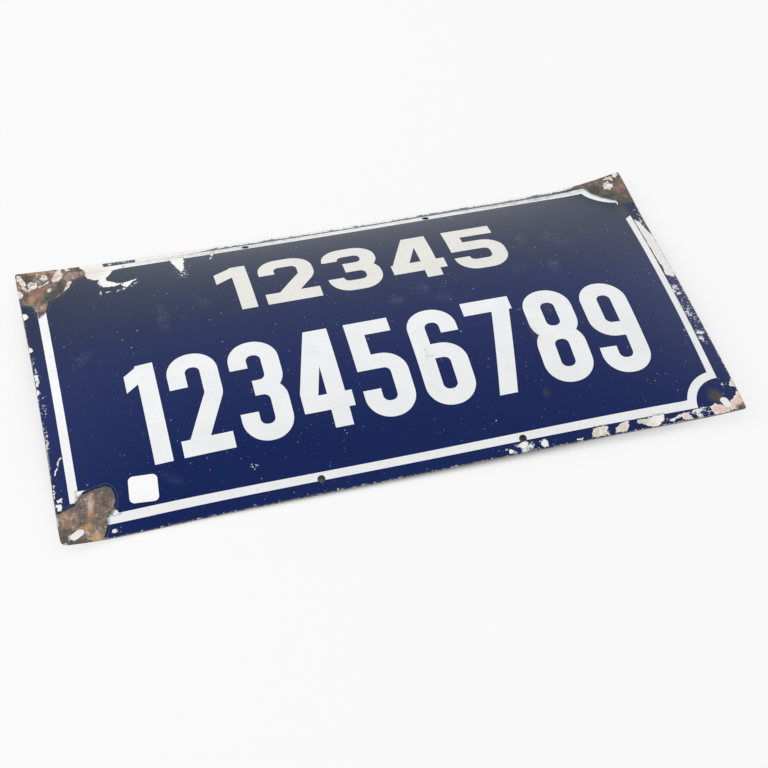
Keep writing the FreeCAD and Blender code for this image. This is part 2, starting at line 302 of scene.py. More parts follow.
def spotStrength(flat, spot):
    x, y, halfLength, halfWidth, turn, strength = spot
    cosine, sine = math.cos(math.radians(turn)), math.sin(math.radians(turn))
    besideX, besideY = flat[:, 0] - x, flat[:, 1] - y
    along = (besideX * cosine + besideY * sine) / halfLength
    across = (besideY * cosine - besideX * sine) / halfWidth
    return strength * np.clip(spotReach - np.hypot(along, across), 0, 1)


def wearAt(flat):
    # each kind of wear at each flat place: a distance in mm for outlines, a strength for spots
    fields = {kind: np.maximum.reduce([insideOutline(flat, outline) for outline in outlines])
              for kind, outlines in wearOutlines.items()}
    fields |= {kind: sum(spotStrength(flat, spot) for spot in spots) for kind, spots in wearSpots.items()}
    fields["fromEdge"] = np.minimum.reduce([flat[:, 0] - flatEnd(-1), flatEnd(1) - flat[:, 0],
                                            sheetForm["width"] / 2 - np.abs(flat[:, 1])])
    return fields


def flatPlaces(bm):
    return np.array([vert.co[:] for vert in bm.verts])


def storeWear(bm, fields):
    for kind, values in fields.items():
        layer = bm.verts.layers.float.new(kind)
        for vert, value in zip(bm.verts, values):
            vert[layer] = value


def finishedPiece(name, bm, materials, roundedUnder=40):
    # presses a flat piece onto the dome and makes its object; edges sharper than the angle stay crisp
    storeWear(bm, wearAt(flatPlaces(bm)))
    for vert, place in zip(bm.verts, pressed(flatPlaces(bm))):
        vert.co = place
    mesh = bpy.data.meshes.new(name)
    bm.to_mesh(mesh)
    bm.free()
    for material in materials:
        mesh.materials.append(material)
    mesh.shade_smooth()
    mesh.set_sharp_from_angle(angle=math.radians(roundedUnder))
    piece = bpy.data.objects.new(name, mesh)
    bpy.context.scene.collection.objects.link(piece)
    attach(piece, "root")
    return piece


def joinedBy(operation, bm, tool):
    # a boolean between two closed flat meshes
    ends = []
    for part in (bm, tool):
        mesh = bpy.data.meshes.new("flat")
        part.to_mesh(mesh)
        part.free()
        ends.append(bpy.data.objects.new("flat", mesh))
        bpy.context.scene.collection.objects.link(ends[-1])
    cut = ends[0].modifiers.new("cut", "BOOLEAN")
    cut.operation = operation
    cut.solver = "EXACT"
    cut.object = ends[1]
    seen = bpy.context.evaluated_depsgraph_get()
    result = bmesh.new()
    result.from_object(ends[0], seen)
    for end in ends:
        mesh = end.data
        bpy.data.objects.remove(end)
        bpy.data.meshes.remove(mesh)
    return result


holes = {
    "pairDiameter": 5.6,
    "pairInset": 12.0,
    "pairSpacing": 162.4,
    "pairShifts": {1: 7.1, -1: 11.8},
    "cornerDiameter": 6.6,
    # in from the end, in from the long edge, slot length, turn
    "corners": {
        (-1, 1): (14.0, 21.0, 6.6, 0.0),
        (1, 1): (13.5, 12.5, 6.6, 0.0),
        (-1, -1): (13.2, 8.2, 12.5, 34.0),
        (1, -1): (13.5, 10.3, 11.0, 106.0),
    },
    # how much wider the hole is at each height, where the enamel rounds into it
    "flare": [(-3.2, 1.3), (-1.75, 0.35), (-1.45, 0.0), (-0.4, 0.0), (-0.15, 0.12), (0.05, 0.4), (1.0, 1.3)],
    "sides": 32,
}


def addHoleTool(bm, x, y, diameter, length, turn):
    radius, flare = diameter / 2, holes["flare"]
    made = bmesh.ops.create_circle(bm, cap_ends=True, segments=holes["sides"], radius=radius + flare[0][1])
    verts = made["verts"]
    face = verts[0].link_faces[0]
    bmesh.ops.translate(bm, verts=verts, vec=(0, 0, flare[0][0]))
    every = list(verts)
    for (below, belowFlare), (above, aboveFlare) in zip(flare, flare[1:]):
        made = bmesh.ops.extrude_face_region(bm, geom=[face])["geom"]
        verts = [item for item in made if isinstance(item, bmesh.types.BMVert)]
        nextFace = next(item for item in made if isinstance(item, bmesh.types.BMFace))
        if face.is_valid and below != flare[0][0]:
            bmesh.ops.delete(bm, geom=[face], context="FACES_ONLY")
        face = nextFace
        widening = (radius + aboveFlare) / (radius + belowFlare)
        bmesh.ops.scale(bm, verts=verts, vec=(widening, widening, 1))
        bmesh.ops.translate(bm, verts=verts, vec=(0, 0, above - below))
        every += verts
    for vert in every:
        vert.co.x += math.copysign((length - diameter) / 2, vert.co.x)
    spin = Matrix.Rotation(math.radians(turn), 3, "Z")
    bmesh.ops.rotate(bm, verts=every, cent=(0, 0, 0), matrix=spin)
    bmesh.ops.translate(bm, verts=every, vec=(x, y, 0))


def holeTools(withCorners):
    bm = bmesh.new()
    for sideY, shift in holes["pairShifts"].items():
        for sideX in (-1, 1):
            x = shift + sideX * holes["pairSpacing"] / 2
            y = sideY * (sheetForm["width"] / 2 - holes["pairInset"])
            addHoleTool(bm, x, y, holes["pairDiameter"], holes["pairDiameter"], 0)
    if withCorners:
        for (sideX, sideY), (inX, inY, length, turn) in holes["corners"].items():
            x = flatEnd(sideX) - sideX * inX
            y = sideY * (sheetForm["width"] / 2 - inY)
            addHoleTool(bm, x, y, holes["cornerDiameter"], length, turn)
    bmesh.ops.recalc_face_normals(bm, faces=bm.faces)
    return bm


# where the enamel is gone the face is lower, rough with rust and flakes
rustRelief = {
    "depth": 0.3,
    "scale": 0.22,
    "roughness": 0.16,
    "flakeHeight": 0.22,
    "flakeEdge": 0.8,
    # how far in from the ends and the long edges the cells are finer
    "fineReach": (66, 74),
}


def signSheet(materials):
    length, width = sheetForm["length"], sheetForm["width"]
    bm = bmesh.new()
    cells = (round(length / sheetForm["cell"]), round(width / sheetForm["cell"]))
    bmesh.ops.create_grid(bm, x_segments=cells[0], y_segments=cells[1], size=0.5)
    bmesh.ops.scale(bm, verts=bm.verts, vec=(length, width, 1))
    for vert in bm.verts:
        sideX, sideY = math.copysign(1, vert.co.x), math.copysign(1, vert.co.y)
        radius = sheetForm["cornerRadii"][sideX, sideY]
        beyondX = abs(vert.co.x) - (length / 2 - radius)
        beyondY = abs(vert.co.y) - (width / 2 - radius)
        if min(beyondX, beyondY) > 0:
            pull = 1 - max(beyondX, beyondY) / math.hypot(beyondX, beyondY)
            vert.co.x -= sideX * beyondX * pull
            vert.co.y -= sideY * beyondY * pull
    top = bm.faces[:]
    made = bmesh.ops.extrude_face_region(bm, geom=top)["geom"]
    lower = [item for item in made if isinstance(item, bmesh.types.BMVert)]
    bmesh.ops.translate(bm, verts=lower, vec=(0, 0, -sheetForm["thickness"]))
    bmesh.ops.recalc_face_normals(bm, faces=bm.faces)
    rim = [edge for edge in bm.edges if edge.calc_face_angle(0) > math.radians(sheetForm["steepRim"])]
    bmesh.ops.bevel(bm, geom=[edge for edge in rim if edge.verts[0].co.z == edge.verts[1].co.z],
                    offset=sheetForm["rimRounding"], affect="EDGES", segments=2, profile=0.5, material=-1)
    reachX, reachY = rustRelief["fineReach"]
    worn = [face for face in bm.faces if face.normal.z > sheetForm["levelFace"]
            and min(abs(vert.co.x) for vert in face.verts) > length / 2 - reachX
            and min(abs(vert.co.y) for vert in face.verts) > width / 2 - reachY]
    fine = list({edge for face in worn for edge in face.edges})
    bmesh.ops.subdivide_edges(bm, edges=fine, cuts=1, use_grid_fill=True)
    bmesh.ops.translate(bm, verts=bm.verts, vec=(sheetForm["domeShift"], 0, 0))
    bm = joinedBy("DIFFERENCE", bm, holeTools(True))
    fields = wearAt(flatPlaces(bm))
    for vert, rust, flake in zip(bm.verts, fields["rust"], fields["flake"]):
        if vert.co.z > sheetForm["enamelAbove"] and rust > 0:
            grain = noise.fractal(vert.co * rustRelief["scale"], 1.0, 2.0, 3)
            bare = min(rust, 1.0)
            raised = rustRelief["flakeHeight"] * min(max(flake + rustRelief["flakeEdge"], 0), 1)
            vert.co.z -= bare * (rustRelief["depth"] - rustRelief["roughness"] * grain - raised)
    for face in bm.faces:
        face.material_index = 1 if face.normal.z < sheetForm["backBelow"] else 0
    sheetForm["liftedBy"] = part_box("sign_plate")[0][2] / mm - pressed(flatPlaces(bm))[:, 2].min() / mm
    sheet = finishedPiece("sign_sheet", bm, materials)
    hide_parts("sign_plate")
    print("sheet", len(sheet.data.polygons), "faces, lifted by", round(sheetForm["liftedBy"], 3), "mm")


borderLine = {
    "relief": 0.16,
    "sunk": 0.6,
    # the outer corners, anticlockwise from the lower right, and the width of each side that follows
    "corners": [(263.0, -140.4), (264.6, 142.2), (-259.1, 142.2), (-260.2, -138.7)],
    "widths": [8.6, 6.0, 7.8, 7.2],
    "bottomWaist": 1.9,
    "scallop": 25.0,
    "arcSteps": 14,
    "cutsAlong": {"x": 190, "y": 90},
    "cutsAcross": 5,
    # how fast it sinks inside the edge of a lost stretch
    "wornSteepness": 3,
}


def scallopLoop(bm, inset):
    # one edge of the line, at none or all of its width: arcs spun about its outer corners, with sides between
    line = borderLine
    ends = []
    for index, corner in enumerate(line["corners"]):
        before, after = line["widths"][index] * inset, line["widths"][(index + 1) % 4] * inset
        radius = line["scallop"] + (before + after) / 2
        start = (index + 2) * quarterTurn - math.asin(before / radius)
        sweep = (index + 1) * quarterTurn + math.asin(after / radius) - start
        middle = Vector((*corner, 0))
        for turn in (start, start + sweep):
            ends.append(middle + Vector((math.cos(turn), math.sin(turn), 0)) * radius)
        bmesh.ops.spin(bm, geom=[bm.verts.new(ends[-2])], cent=middle, axis=(0, 0, 1), angle=sweep,
                       steps=line["arcSteps"], use_duplicate=False)
    for index in range(4):
        side = bm.edges.new([bm.verts.new(ends[place % 8]) for place in (index * 2 + 1, index * 2 + 2)])
        cuts = line["cutsAlong"]["y" if index % 2 == 0 else "x"]
        made = bmesh.ops.subdivide_edges(bm, edges=[side], cuts=cuts)["geom_inner"]
        if index == 3:
            # the lower side is narrower in its middle
            for vert in [item for item in made if isinstance(item, bmesh.types.BMVert)]:
                vert.co.y -= line["bottomWaist"] * inset * (1 - (vert.co.x / line["corners"][0][0]) ** 2)
    bmesh.ops.remove_doubles(bm, verts=bm.verts, dist=0.01)


def borderLinePiece(materials):
    line = borderLine
    bm = bmesh.new()
    scallopLoop(bm, 0)
    scallopLoop(bm, 1)
    bmesh.ops.bridge_loops(bm, edges=bm.edges[:])
    cross = [edge for edge in bm.edges if len(edge.link_faces) == 2]
    bmesh.ops.subdivide_edges(bm, edges=cross, cuts=line["cutsAcross"], use_grid_fill=True)
    bmesh.ops.translate(bm, verts=bm.verts, vec=(0, 0, line["relief"]))
    made = bmesh.ops.extrude_face_region(bm, geom=bm.faces[:])["geom"]
    lower = [item for item in made if isinstance(item, bmesh.types.BMVert)]
    bmesh.ops.translate(bm, verts=lower, vec=(0, 0, -line["sunk"]))
    bmesh.ops.recalc_face_normals(bm, faces=bm.faces)
    bm = joinedBy("DIFFERENCE", bm, holeTools(False))
    fields = wearAt(flatPlaces(bm))
    for vert, gone in zip(bm.verts, np.maximum(fields["rust"], fields["lineGone"])):
        # the line goes with the enamel where the sheet has rusted
        if vert.co.z > 0:
            sunk = min(max(gone * line["wornSteepness"], 0), 1)
            vert.co.z -= (rustRelief["depth"] + line["relief"]) * sunk
    piece = finishedPiece("border_line", bm, materials)
    print("border line", len(piece.data.polygons), "faces")


numerals = {
    "relief": 0.12,
    "sunk": 0.5,
    "cell": 8.0,
    "bendSteps": 10,
    "gap": 8.6,
    "narrowOne": 0.6,
    "rows": {
        "upper_numerals": {"digits": "12345", "left": -109.5, "right": 138.0, "bottom": 37.0,
                           "top": 101.0, "stroke": 13.4, "bend": 11.5, "coat": "upper"},
        "lower_numerals": {"digits": "123456789", "left": -201.4, "right": 218.0, "bottom": -98.6,
                           "top": -2.5, "stroke": 14.5, "bend": 12.5, "coat": "white"},
    },
}


def digitStrokes(digit, w, h, s, bend):
    # the centre lines of a digit, each with its own bend radius; w and h reach between centre lines
    half, low, high = h * 0.51, h * 0.24, h * 0.76
    strokes = {
        "1": [([(w, -s), (w, h + s)], 0), ([(w, h + s * 0.1), (-s, h - s)], 0)],
        "2": [([(0, h * 0.68), (0, h), (w, h), (w, h * 0.56), (-s * 0.1, -s * 0.9)], bend),
              ([(-s / 2, 0), (w + s / 2, 0)], 0)],
        "3": [([(0, high), (0, h), (w, h), (w, half), (w * 0.3, half)], bend),
              ([(w * 0.3, half), (w, half), (w, 0), (0, 0), (0, low)], bend)],
        "4": [([(w * 0.8, -s), (w * 0.8, h + s)], 0), ([(-s / 2, h * 0.2), (w + s / 2, h * 0.2)], 0),
              ([(w * 0.8 - s * 0.1, h + s * 1.4), (-s * 0.45, h * 0.2 - s)], 0, h * 0.2 - s / 2)],
        "5": [([(-s / 2, h), (w + s * 0.2, h)], 0), ([(0, h + s), (0, h * 0.56 - s / 2)], 0),
              ([(-s / 2, h * 0.56), (w, h * 0.56), (w, 0), (0, 0), (0, low)], bend)],
        "6": [([(w, high), (w, h), (0, h), (0, 0), (w, 0), (w, h * 0.55), (0, h * 0.55)], bend)],
        "7": [([(-s / 2, h), (w + s / 2, h)], 0), ([(w + s * 0.12, h + s), (w * 0.2, -s)], 0)],
        "8": [([(w / 2, half), (0, half), (0, h), (w, h), (w, half), (w / 2, half)], bend),
              ([(w / 2, half), (0, half), (0, 0), (w, 0), (w, half), (w / 2, half)], bend)],
        "9": [([(0, low), (0, 0), (w, 0), (w, h), (0, h), (0, h * 0.45), (w, h * 0.45)], bend)],
    }
    return strokes[digit]


def penStroke(points, bend, stroke, limits):
    # a flat stroke of even width: run straight, spin round each bend, then trim to the digit's box
    bm = bmesh.new()
    points = [Vector((*point, 0)) for point in points]
    headings = [(after - before).normalized() for before, after in zip(points, points[1:])]
    beside = headings[0].cross(Vector((0, 0, 1))) * stroke / 2
    verts = [bm.verts.new(points[0] + beside), bm.verts.new(points[0] - beside)]
    edge = bm.edges.new(verts)
    place, trimmed = points[0], 0
    for index, heading in enumerate(headings):
        turn, trim = 0, 0
        if index + 1 < len(headings):
            following = headings[index + 1]
            turn = math.atan2(heading.cross(following).z, heading.dot(following))
            trim = bend * math.tan(abs(turn) / 2)
        run = (points[index + 1] - points[index]).length - trimmed - trim
        made = bmesh.ops.extrude_edge_only(bm, edges=[edge])["geom"]
        verts = [item for item in made if isinstance(item, bmesh.types.BMVert)]
        edge = next(item for item in made if isinstance(item, bmesh.types.BMEdge))
        bmesh.ops.translate(bm, verts=verts, vec=heading * run)
        place = place + heading * run
        if turn:
            toMiddle = Vector((0, 0, math.copysign(1, turn))).cross(heading) * bend
            spun = bmesh.ops.spin(bm, geom=verts + [edge], cent=place + toMiddle, axis=(0, 0, 1), angle=turn,
                                  steps=numerals["bendSteps"], use_duplicate=False)["geom_last"]
            edge = next(item for item in spun if isinstance(item, bmesh.types.BMEdge))
            place = place + toMiddle - Matrix.Rotation(turn, 3, "Z") @ toMiddle
        trimmed = trim
    bmesh.ops.remove_doubles(bm, verts=bm.verts, dist=0.001)
    for corner, side in ((limits[0], -1), (limits[1], 1)):
        for direction in ((side, 0, 0), (0, side, 0)):
            bmesh.ops.bisect_plane(bm, geom=bm.verts[:] + bm.edges[:] + bm.faces[:], plane_co=(*corner, 0),
                                   plane_no=direction, clear_outer=True)
    made = bmesh.ops.extrude_face_region(bm, geom=bm.faces[:])["geom"]
    upper = [item for item in made if isinstance(item, bmesh.types.BMVert)]
    bmesh.ops.translate(bm, verts=upper, vec=(0, 0, numerals["sunk"]))
    bmesh.ops.recalc_face_normals(bm, faces=bm.faces)
    return bm


def numeralRow(name, row, material):
    stroke = row["stroke"]
    count = len(row["digits"])
    space = row["right"] - row["left"] - numerals["gap"] * (count - 1)
    wide = space / (count - 1 + numerals["narrowOne"])
    height = row["top"] - row["bottom"] - stroke
    whole = bmesh.new()
    at = row["left"]
    for digit in row["digits"]:
        across = wide * numerals["narrowOne"] if digit == "1" else wide
        digitMesh = None
        for points, bend, *lowest in digitStrokes(digit, across - stroke, height, stroke, row["bend"]):
            low = (-stroke / 2, lowest[0] if lowest else -stroke / 2)
            one = penStroke(points, bend, stroke, (low, (across - stroke / 2, height + stroke / 2)))
            digitMesh = joinedBy("UNION", digitMesh, one) if digitMesh else one
        toPlace = (at + stroke / 2, row["bottom"] + stroke / 2, 0)
        bmesh.ops.translate(digitMesh, verts=digitMesh.verts, vec=toPlace)
        mesh = bpy.data.meshes.new("digit")
        digitMesh.to_mesh(mesh)
        digitMesh.free()
        whole.from_mesh(mesh)
        bpy.data.meshes.remove(mesh)
        at += across + numerals["gap"]
    bmesh.ops.translate(whole, verts=whole.verts, vec=(0, 0, numerals["relief"] - numerals["sunk"]))
    bmesh.ops.triangulate(whole, faces=whole.faces)
    cell = numerals["cell"]
    for axis, low, high in ((0, row["left"], row["right"]), (1, row["bottom"], row["top"])):
        normal = Vector((1, 0, 0)) if axis == 0 else Vector((0, 1, 0))
        for step in range(1, math.ceil((high - low) / cell)):
            place = normal * (low + step * cell)
            bmesh.ops.bisect_plane(whole, geom=whole.verts[:] + whole.edges[:] + whole.faces[:],
                                   plane_co=place, plane_no=normal)
    piece = finishedPiece(name, whole, [material])
    print(name, len(piece.data.polygons), "faces")


class Wire:
    # a shader socket that can be added, multiplied and mixed like a number or a colour
    def __init__(self, tree, socket=None):
        self.tree, self.socket = tree, socket

    def node(self, kind, settings=None, inputs=None, output=0):
        made = self.tree.nodes.new("ShaderNode" + kind)
        for name, value in (settings or {}).items():
            if name == "stops":
                for index, (place, colour) in enumerate(value):
                    stops = made.color_ramp.elements
                    stop = stops[index] if index < len(stops) else stops.new(place)
                    stop.position, stop.color = place, (*colour, 1)
            else:
                setattr(made, name, value)
        for name, value in (inputs or {}).items():
            if isinstance(value, Wire):
                self.tree.links.new(value.socket, made.inputs[name])
            else:
                made.inputs[name].default_value = value
        return Wire(self.tree, made.outputs[output])

    def maths(self, operation, first, second=0.0):
        return self.node("Math", {"operation": operation}, {0: first, 1: second})

    def __add__(self, other):
        return self.maths("ADD", self, other)

    def __radd__(self, other):
        return self.maths("ADD", other, self)

    def __sub__(self, other):
        return self.maths("SUBTRACT", self, other)

    def __rsub__(self, other):
        return self.maths("SUBTRACT", other, self)

    def __mul__(self, other):
        return self.maths("MULTIPLY", self, other)

    def __rmul__(self, other):
        return self.maths("MULTIPLY", other, self)

    def larger(self, other):
        return self.maths("MAXIMUM", self, other)

    def past(self, edge, blur):
        # 0 below the edge, 1 above it, with a soft step
        return self.node("MapRange", {"interpolation_type": "SMOOTHSTEP"},
                         {"Value": self, "From Min": edge - blur, "From Max": edge + blur})

    def between(self, low, high):
        # stretches a field from low..high to 0..1
        return self.node("MapRange", {}, {"Value": self, "From Min": low, "From Max": high})

    def mix(self, first, second):
        first, second = [(*colour, 1) if isinstance(colour, tuple) else colour for colour in (first, second)]
        return self.node("Mix", {"data_type": "RGBA"}, {0: self, 6: first, 7: second}, 2)

    def speckle(self, perMm, detail=3.0, roughness=0.55, stretch=None, turn=0.0, offset=(0.0, 0.0, 0.0)):
        # noise with so many blobs to the millimetre
        coords = self
        if stretch or any(offset):
            coords = self.node("Mapping", {}, {"Vector": self, "Location": offset,
                                               "Rotation": (0, 0, math.radians(turn)),
                                               "Scale": stretch or (1, 1, 1)})
        return self.node("TexNoise", {"noise_dimensions": "3D"},
                         {"Vector": coords, "Scale": perMm, "Detail": detail, "Roughness": roughness})

    def kind(self, name):
        return self.node("Attribute", {"attribute_name": name}, {}, 2)


def newFinish(name):
    material = bpy.data.materials.new(name)
    material.use_nodes = True
    tree = material.node_tree
    tree.nodes.clear()
    start = Wire(tree)
    coords = start.node("TexCoord", {}, {}, 3)
    coords = coords.node("VectorMath", {"operation": "SCALE"}, {0: coords, "Scale": 1 / mm})
    return material, start, coords


def surface(start, inputs):
    shader = start.node("BsdfPrincipled", {}, inputs)
    output = start.tree.nodes.new("ShaderNodeOutputMaterial")
    start.tree.links.new(shader.socket, output.inputs["Surface"])


enamelColours = {
    "blue": (0.0095, 0.0205, 0.098),
    "blueTowardsTop": (0.0105, 0.021, 0.056),
    "white": (0.85, 0.86, 0.865),
    "upperWhite": (0.77, 0.765, 0.725),
    "ground": (0.88, 0.875, 0.86),
    "groundBlue": (0.50, 0.58, 0.68),
    "groundCream": (0.66, 0.62, 0.50),
    "groundPink": (0.82, 0.55, 0.50),
    "olive": (0.085, 0.072, 0.042),
    "rustStops": [(0.0, (0.062, 0.066, 0.062)), (1.0, (0.58, 0.52, 0.47)), (0.26, (0.105, 0.088, 0.074)),
                  (0.46, (0.16, 0.122, 0.104)), (0.62, (0.25, 0.175, 0.14)), (0.80, (0.39, 0.30, 0.245))],
    "rustRed": (0.34, 0.165, 0.115),
    "rustOrange": (0.55, 0.30, 0.13),
    # olive rust, darkened with painted shade where the enamel steps down to the rust
    "oliveRingAndStepShade": (0.105, 0.11, 0.08),
    "flake": (0.84, 0.79, 0.74),
    "flakeStained": (0.52, 0.42, 0.35),
    "flakeShade": (0.05, 0.04, 0.035),
    "smudge": (0.20, 0.22, 0.26),
    "scratch": (0.4, 0.42, 0.45),
    "speck": (0.40, 0.42, 0.46),
    "yellowed": (0.45, 0.40, 0.30),
    "soot": (0.12, 0.115, 0.11),
    "dirt": (0.36, 0.30, 0.24),
    # painted shadow on the blue along the edges of chips
    "chipEdgeShade": (0.012, 0.014, 0.03),
    "halo": (0.015, 0.017, 0.028),
    "paleRing": (0.14, 0.18, 0.30),
}


def enamelFinish(name, coat):
    colours = enamelColours
    material, start, coords = newFinish(name)
    fine = coords.speckle(0.9, 4)
    middling = coords.speckle(0.32, 3, offset=(17.0, 5.0, 3.0))
    broad = coords.speckle(0.045, 2, offset=(3.0, 41.0, 9.0))
    grain = coords.speckle(2.6, 3)

    # the coat itself: small differences of colour, scratches, pale smudges and stains
    if coat == "blue":
        # the blue is duller and darker towards the top
        upward = coords.node("SeparateXYZ", {}, {0: coords}, 1)
        colour = (upward + (broad - 0.5) * 60).past(48, 72).mix(colours["blue"], colours["blueTowardsTop"])
        smudge = start.kind("smudge") * (fine * 0.4 + middling * 0.6).past(0.5, 0.12)
        colour = (smudge * 0.2).mix(colour, colours["smudge"])
        scratch = coords.speckle(0.25, 6, 0.75, stretch=(3.2, 0.12, 1.0), turn=24).past(0.685, 0.02)
        colour = (scratch * 0.22).mix(colour, colours["scratch"])
        specks = coords.speckle(0.42, 1, 0.5, offset=(7.0, 7.0, 0.0)).past(0.835, 0.02)
        colour = (specks * 0.4).mix(colour, colours["speck"])
    else:
        tint = colours["white"] if coat == "white" else colours["upperWhite"]
        darker = tuple(value * 0.93 for value in tint)
        colour = (broad.past(0.5, 0.2) * 0.6 + middling.past(0.62, 0.1) * 0.35).mix(tint, darker)
        yellowed = coords.speckle(0.12, 5, 0.7, offset=(9.0, 2.0, 4.0)).past(0.69, 0.04)
        colour = (yellowed * 0.35).mix(colour, colours["yellowed"])
    grimeStreaks = coords.speckle(0.5, 4, 0.7, stretch=(0.35, 1.0, 1.0), turn=8, offset=(4.0, 7.0, 1.0))
    grime = start.kind("grime") * grimeStreaks.past(0.5, 0.14)
    colour = (grime * 0.5).mix(colour, colours["soot"])
    stain = (start.kind("stain") * (0.3 + middling * 0.8 + fine * 0.4)).past(0.55, 0.55)
    colour = (stain * (0.9 if coat == "blue" else 0.25)).mix(colour, colours["olive"])

    # white ground coat where the blue has chipped off, with painted shadow on the blue along each chip's edge
    edgeNoise = (middling - 0.5) * 3.6 + (fine - 0.5) * 2.8 + (grain - 0.5) * 1.2
    chipDepth = start.kind("ground") + edgeNoise
    chipField = chipDepth.past(0.1, 0.2)
    clusters = coords.speckle(0.09, 2, offset=(13.0, 29.0, 1.0)).between(0.35, 0.62)
    chipSize = fine * 0.5 + middling * 0.5 + start.kind("chipping") * (0.06 + clusters * 0.10)
    speckles = chipSize.past(0.665, 0.012)
    rimChips = ((start.kind("fromEdge") * -0.11) + middling * 0.5 + fine * 0.5).past(0.46, 0.02)
    bare = chipField.larger(speckles).larger(rimChips)
    cream = start.kind("cream") * middling.past(0.45, 0.15)
    groundColour = cream.mix(colours["ground"], colours["groundCream"])
    pink = start.kind("pink") * (1.3 - middling) * chipDepth.past(1.0, 1.2)
    groundColour = pink.maths("MINIMUM", pink, 1).mix(groundColour, colours["groundPink"])
    groundColour = ((1 - chipField) * fine.past(0.56, 0.1) * 0.8).mix(groundColour, colours["groundBlue"])
    dirt = (fine * 0.6 + grain * 0.4 + start.kind("pink") * 0.03).past(0.585, 0.05) * 0.45
    groundColour = dirt.mix(groundColour, colours["dirt"])
    # painted shadow: a thin dark band of the blue round each chip
    chipEdgeShade = (chipDepth.past(-0.9, 0.4) - chipField).larger(0.0)

    # rust where the ground coat has gone too
    rustField = start.kind("rust") + edgeNoise * 0.45
    rust = rustField.past(0.0, 0.22)
    rustRim = ((start.kind("fromEdge") * -0.35) + fine * 0.5 + middling * 0.5).past(0.30, 0.03)
    halo = (rustField.past(-1.4, 0.6) - rust).larger(0.0)
    blotches = coords.speckle(0.17, 4, 0.6, offset=(2.0, 8.0, 5.0))
    streaks = coords.speckle(0.36, 4, 0.62, stretch=(1.0, 0.5, 1.0), turn=-24)
    patchy = (blotches - 0.5) * 1.2 + (streaks - 0.5) * 1.1 + (fine - 0.5) * 1.1 + (grain - 0.5) * 0.6
    tone = patchy + start.kind("tone") * 0.26 + 0.5
    rustColour = tone.node("ValToRGB", {"stops": colours["rustStops"]}, {"Fac": tone})
    red = (start.kind("red") * (0.35 + streaks)).past(0.45, 0.4)
    rustColour = (red * 0.5).mix(rustColour, colours["rustRed"])
    orange = (start.kind("orange") * (fine * 1.1 + streaks * 0.6 - 0.1)).past(0.45, 0.35)
    rustColour = (orange * 0.5).mix(rustColour, colours["rustOrange"])
    # a dark olive ring just inside the rust's edge: olive rust, and painted shade under the step of the
    # enamel
    ring = 1 - rustField.past(1.2, 0.8)
    rustColour = (ring * 0.5).mix(rustColour, colours["oliveRingAndStepShade"])
    flakeDepth = start.kind("flake") + (streaks - 0.5) * 6.0 + (fine - 0.5) * 5.0 + (grain - 0.5) * 2.0
    flakes = flakeDepth.past(0.1, 0.25)
    loose = (blotches * 0.4 + fine * 0.6 + start.kind("tone") * 0.03).past(0.645, 0.03)
    stained = (middling * 0.5 + fine * 0.5).past(0.5, 0.08)
    flakeColour = stained.mix(colours["flake"], colours["flakeStained"])
    underFlakes = (flakeDepth.past(-0.8, 0.4) - flakes).larger(0.0)
    rustColour = (underFlakes * 0.55).mix(rustColour, colours["flakeShade"])
    rustColour = flakes.larger(loose * 0.45).mix(rustColour, flakeColour)

    colour = (chipEdgeShade * 0.45).mix(colour, colours["chipEdgeShade"])
    colour = bare.mix(colour, groundColour)
    paleRing = rustField.past(-2.5, 0.4) - rustField.past(-1.7, 0.4)
    colour = (paleRing * 0.22).mix(colour, colours["paleRing"])
    colour = (halo * 0.6).mix(colour, colours["halo"])
    corroded = rust.larger(rustRim * 0.8)
    colour = corroded.mix(colour, rustColour)
    roughness = bare * 0.26 + 0.085 + start.kind("smudge") * 0.05 + stain * 0.3 + grime * 0.2
    roughness = (1 - corroded) * roughness + corroded * 0.82
    pitted = streaks * 0.22 + fine * 0.16 + grain * 0.06 + flakes * 0.15
    relief = (1 - bare) * 0.10 + (1 - corroded) * 0.16 + corroded * pitted + broad * 0.05
    bump = start.node("Bump", {}, {"Height": relief, "Distance": mm, "Strength": 0.9})
    surface(start, {"Base Color": colour, "Roughness": roughness, "IOR": 1.5, "Normal": bump})
    return material


backColours = {
    "coat": (0.028, 0.032, 0.045),
    "coatPale": (0.05, 0.055, 0.07),
    "fleck": (0.22, 0.23, 0.25),
    "rustStops": [(0.3, (0.05, 0.035, 0.022)), (0.72, (0.33, 0.17, 0.075)), (0.52, (0.15, 0.08, 0.045))],
}


def backFinish():
    # the hollow side: a dark ground coat, speckled, rusting from the edges and corners in
    material, start, coords = newFinish("dark_ground_coat")
    fine = coords.speckle(0.8, 4)
    middling = coords.speckle(0.2, 4, offset=(31.0, 5.0, 3.0))
    broad = coords.speckle(0.03, 3, offset=(3.0, 11.0, 9.0))
    colour = fine.past(0.5, 0.12).mix(backColours["coat"], backColours["coatPale"])
    colour = (middling.past(0.66, 0.03) * 0.5).mix(colour, backColours["fleck"])
    near = start.kind("rust") * 0.03 + start.kind("fromEdge") * -0.03
    rust = (near + middling * 0.75 + broad * 0.5 + (fine - 0.5) * 0.25).past(0.56, 0.03)
    tone = fine * 0.6 + middling * 0.4
    rustColour = start.node("ValToRGB", {"stops": backColours["rustStops"]}, {"Fac": tone})
    colour = rust.mix(colour, rustColour)
    roughness = rust * 0.5 + 0.32
    relief = rust * fine * 0.3 + middling * 0.06
    bump = start.node("Bump", {}, {"Height": relief, "Distance": mm, "Strength": 0.8})
    surface(start, {"Base Color": colour, "Roughness": roughness, "Normal": bump})
    return material


paperColours = {"paper": (0.93, 0.93, 0.935), "shade": (0.88, 0.88, 0.89), "roughness": 0.55}


